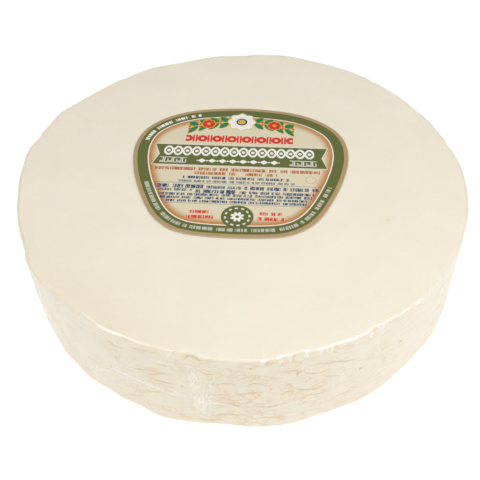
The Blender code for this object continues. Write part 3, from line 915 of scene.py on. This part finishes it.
def label_material():
    """Printed film with a satin sheen: the bands, the glowing edge of the field and each printed
    figure are worked out from the distance to the edge and the place across and up the label."""
    paper = Paint("printed_label")
    inset, run = paper.field("inset"), paper.field("run")
    speckle = paper.noise(paper.place(), 0.5, 2, 0.7)
    field = paper.blend((inset - WHITE_LINE).rise(0, GLOW_WIDTH), LABEL_GLOW, LABEL_CREAM)
    field = paper.blend(speckle.rise(0.3, 0.9) * 0.25, field, PALE_TAN)
    sheet = Print(paper, field)
    x, y = sheet.x, sheet.y

    # The banner, with a notch cut into each end
    half_length, half_height, off = 50.5, 9, y - 10
    notch = 3.3 * (1 - abs(off) / half_height) & 0
    banner = block(abs(x) + notch, off, half_length, half_height)
    sheet.ink(banner - 0.5, LABEL_WHITE, 0.6)
    sheet.ink(banner, LABEL_OLIVE)
    sheet.ink(plait(sheet), LABEL_WHITE)

    # Below the plait: a chain of lozenges, with a short key border on each side
    along, above, half_pitch = x + 1, abs(y - 5), 3
    link = abs(along % (2 * half_pitch) - half_pitch)
    chain = (link * 0.75 + above - 1.9) | (length(link - half_pitch, above) - 0.6)
    sheet.ink(chain & (abs(along) - 24), LABEL_WHITE)
    for middle in (-38.8, 36.6):
        key_x, key_y = (x - middle) % 5.2, y - 2.6
        key, *bars = [block(key_x - bar_x, key_y - bar_y, half_width, half_height)
                      for bar_x, bar_y, half_width, half_height in KEY_BARS]
        for bar in bars:
            key = key | bar
        sheet.ink(key & (abs(x - middle) - 7.8), LABEL_WHITE, 0.85)

    # The red row above the banner: a bead and a reel of two bars in turn
    bead_x, bead_y = abs((x + 1.5) % BEAD_PITCH - BEAD_PITCH / 2), y - BEAD_ROW
    bead_out = length(bead_x, bead_y)
    reel = block(BEAD_PITCH / 2 - bead_x - 0.85, bead_y, 0.55, 3.2)
    span = abs(x + 1.5) - 3.5 * BEAD_PITCH - 1.2
    sheet.ink((bead_out - 3 | reel) & span, RED)
    sheet.ink((bead_out - 1) & span, LABEL_CREAM)

    # Small print, as rows of plain strokes, with a thin line above and below them and a ring
    rows = [(tint, *row) for tint, tint_rows in SMALL_PRINT for row in tint_rows]
    for seed, row in enumerate(rows, 1):
        sheet.row(seed, *row)
    sheet.ink(block(x, y + 14.7, 47.2, 0.14), NAVY, 0.8)
    sheet.ink(block(x - 0.8, y + 31.2, 40, 0.14), NAVY, 0.8)
    sheet.ink(abs(length(x - 41, y + 9) - 2.9) - 0.35, PALE_TAN, 0.9)

    # The bands round the edge, with strokes of small print along the olive one
    sheet.ink(inset - WHITE_LINE, LABEL_WHITE)
    sheet.ink(inset - OLIVE_BAND, LABEL_OLIVE)
    seal(sheet)
    garland(sheet)
    strokes = sheet.strokes(run, len(rows) + 1, 1.5, 0.38)
    top_left, foot = (22 - y) & (x + 26), (y + 14.5) & 0
    along_band = (abs(inset - BAND_PRINT) - BAND_PRINT_HALF) & strokes
    sheet.ink(along_band & (top_left | foot), LABEL_WHITE)
    sheet.ink(inset - TAN_BAND, LABEL_TAN)
    sheet.ink(inset - CUT_EDGE, CUT_EDGE_TAN, 0.7)
    colours = paper.blend(paper.field("printed"), LABEL_WHITE, sheet.colours)

    pucker = paper.noise(paper.place(), 7, 2) + speckle * 0.06
    return paper.surface(paper.node("ShaderNodeBsdfPrincipled", {}, {
        "Base Color": colours,
        "Roughness": speckle * 0.1 + 0.42,
        "Specular IOR Level": 0.35,
        "Normal": paper.bump(pucker, 0.12 * MM, 0.5),
    }))


def leaf(x, y, half_length, half_width, lean):
    """A pointed leaf from the origin, turned by its lean in degrees: where two equal discs, whose
    middles lie on each side of it, overlap."""
    radius = (half_length**2 + half_width**2) / (2 * half_width)
    turn = np.radians(lean)
    along = x * np.cos(turn) + y * np.sin(turn) - half_length
    off = y * np.cos(turn) - x * np.sin(turn)
    return length(along, abs(off) + radius - half_width) - radius


def garland(sheet):
    """A low arched garland: a gold stem with pairs of green leaves, red berries between them, and
    three round flowers on it, a white one in the middle and a red one on each side."""
    x = sheet.x + 1
    out = abs(x)
    above = abs(sheet.y - (STEM_TOP - STEM_BEND * x**2))
    step = (out - LEAVES_FROM) % LEAF_PITCH
    span = (out - LEAVES_FROM - 4 * LEAF_PITCH) & (LEAVES_FROM - out)
    leaves = leaf(step - 0.1, above, 3.9, 1.9, LEAF_LEAN)
    vein = abs(leaf(step - 0.1, above, 3.9, 0.25, LEAF_LEAN)) - 0.1
    berry = length(step - 5.2, above - 1.2) - 0.8
    sheet.ink((leaves - 0.45) & span, GOLD)
    sheet.ink(leaves & span, LEAF_GREEN)
    sheet.ink(vein & leaves & span, DEEP_GREEN)
    sheet.ink((above - 0.35) & span, GOLD)
    sheet.ink(berry & span, RED)
    for middle, radius, petals, ring in FLOWERS:
        distance, bearing = sheet.around(middle - 1, STEM_TOP - STEM_BEND * middle**2)
        scalloped = distance + (bearing * 4).wave() ** 2 * (0.14 * radius) - radius
        sheet.ink(scalloped - 0.5, GOLD)
        sheet.ink(scalloped, petals)
        sheet.ink(distance - radius * 0.4, ring)
        sheet.ink(distance - radius * 0.28, GOLD)


def seal(sheet):
    """The olive disc at the foot, with a thin white ring of dots and a white eight-petalled
    flower."""
    radius, dot_ring, petal = 8.8, 6.6, 3.9
    distance, bearing = sheet.around(1.5, -40.6)
    sheet.ink(distance - radius, LABEL_OLIVE)
    sheet.ink((abs(distance - dot_ring) - 0.55) & -1 * (bearing * 12).wave(), LABEL_WHITE, 0.85)
    sheet.ink(distance - petal * (0.55 + 0.45 * abs((bearing * 4).wave())), LABEL_WHITE)
    sheet.ink(distance - 1, LABEL_OLIVE)


label.data.materials.append(label_material())
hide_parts("label")
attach(label, "root")


# The studio
#
# A plain white floor that glows a little, so that it stays white, a pale surround, and four soft
# lamps: a tall strip on the right and on the left, a small one in front, and a broad one overhead.

# In metres: how wide the floor is, and how far under the wheel
FLOOR_SIZE, FLOOR_DROP = 3, 0.0002


def floor():
    """The white floor, a square a little under the wheel."""
    half = FLOOR_SIZE / 2
    corners = [(-half, -half), (half, -half), (half, half), (-half, half)]
    mesh = bpy.data.meshes.new("floor")
    mesh.from_pydata([(x, y, -FLOOR_DROP) for x, y in corners], [], [(0, 1, 2, 3)])
    white = Paint("white_floor")
    mesh.materials.append(white.surface(white.node("ShaderNodeBsdfPrincipled", {}, {
        "Base Color": (0.58, 0.58, 0.58, 1),
        "Roughness": 0.8,
        "Specular IOR Level": 0.1,
        "Emission Color": (1, 1, 1, 1),
        "Emission Strength": 0.64,
    })))
    return add_object("floor", mesh)


def directions(azimuth, elevation):
    """The directions back and right of what looks at the middle from an azimuth, from +X round to
    +Y, and an elevation, in degrees."""
    turn, lift = np.radians([azimuth, elevation])
    back = np.array([np.cos(turn) * np.cos(lift), np.sin(turn) * np.cos(lift), np.sin(lift)])
    return back, np.array([-np.sin(turn), np.cos(turn), 0])


def pose(at, back, right):
    """The placing of a lamp or camera at a point, whose own -Z looks against back."""
    placing = np.eye(4)
    placing[:3] = np.stack([right, np.cross(back, right), back, at], axis=1)
    return Matrix(placing.tolist())


def lamp(name, azimuth, elevation, distance, width, height, power):
    """A soft rectangular lamp that faces the wheel."""
    light = bpy.data.lights.new(name, "AREA")
    light.shape = "RECTANGLE"
    light.size, light.size_y, light.energy = width, height, power
    back, right = directions(azimuth, elevation)
    add_object(name, light).matrix_world = pose(back * distance, back, right)


floor()
# Each lamp's azimuth, elevation, distance, width, height and power, in degrees, metres and watts
lamp("right_strip", -12, 50, 1.2, 0.14, 1.3, 2.1)
lamp("left_strip", 203, 51, 1.2, 0.1, 0.95, 2.92)
lamp("front_lamp", -62, 58, 0.62, 0.35, 0.35, 0.88)
lamp("top_lamp", -50, 75, 1.2, 0.7, 0.7, 2.28)


def surround(strength, seen):
    """An even, faintly warm white surround: dim as a light, and as bright as a light tent where it
    is seen or a gloss mirrors it."""
    world = Paint("pale_surround", bpy.data.worlds)
    lights = world.node("ShaderNodeLightPath", {}, {}, "Is Diffuse Ray")
    white = world.node("ShaderNodeBackground", {}, {
        "Color": (1, 0.985, 0.96, 1), "Strength": seen + (strength - seen) * lights})
    made = world.surface(white, "ShaderNodeOutputWorld")
    made.cycles.sampling_method = "NONE"
    return made


bpy.context.scene.world = surround(0.3, 0.86)
bpy.context.scene.view_settings.view_transform = "Standard"

# The camera: where the photo was taken from, from the wheel's axis
CAMERA_DISTANCE = 3.6298 * WHEEL_RADIUS
CAMERA_ELEVATION = 43.9454
CAMERA_YAW, CAMERA_PITCH, CAMERA_ROLL = 0.2145, 45.98, -0.7545
CAMERA_LENS = 57.92


def camera():
    """The camera in front of the wheel, turned by its yaw, pitch and roll."""
    back, level = directions(CAMERA_YAW - 90, CAMERA_PITCH)
    roll = np.radians(CAMERA_ROLL)
    right = level * np.cos(roll) + np.cross(back, level) * np.sin(roll)
    eye = directions(-90, CAMERA_ELEVATION)[0] * CAMERA_DISTANCE
    eye = (eye + wheel_axis + (0, 0, WHEEL_HEIGHT / 2)) * MM
    lens = bpy.data.cameras.new("camera")
    lens.lens = CAMERA_LENS
    lens.sensor_width = 36
    lens.clip_start = 0.01
    made = add_object("camera", lens)
    made.matrix_world = pose(eye, back, right)
    return made


bpy.context.scene.camera = camera()
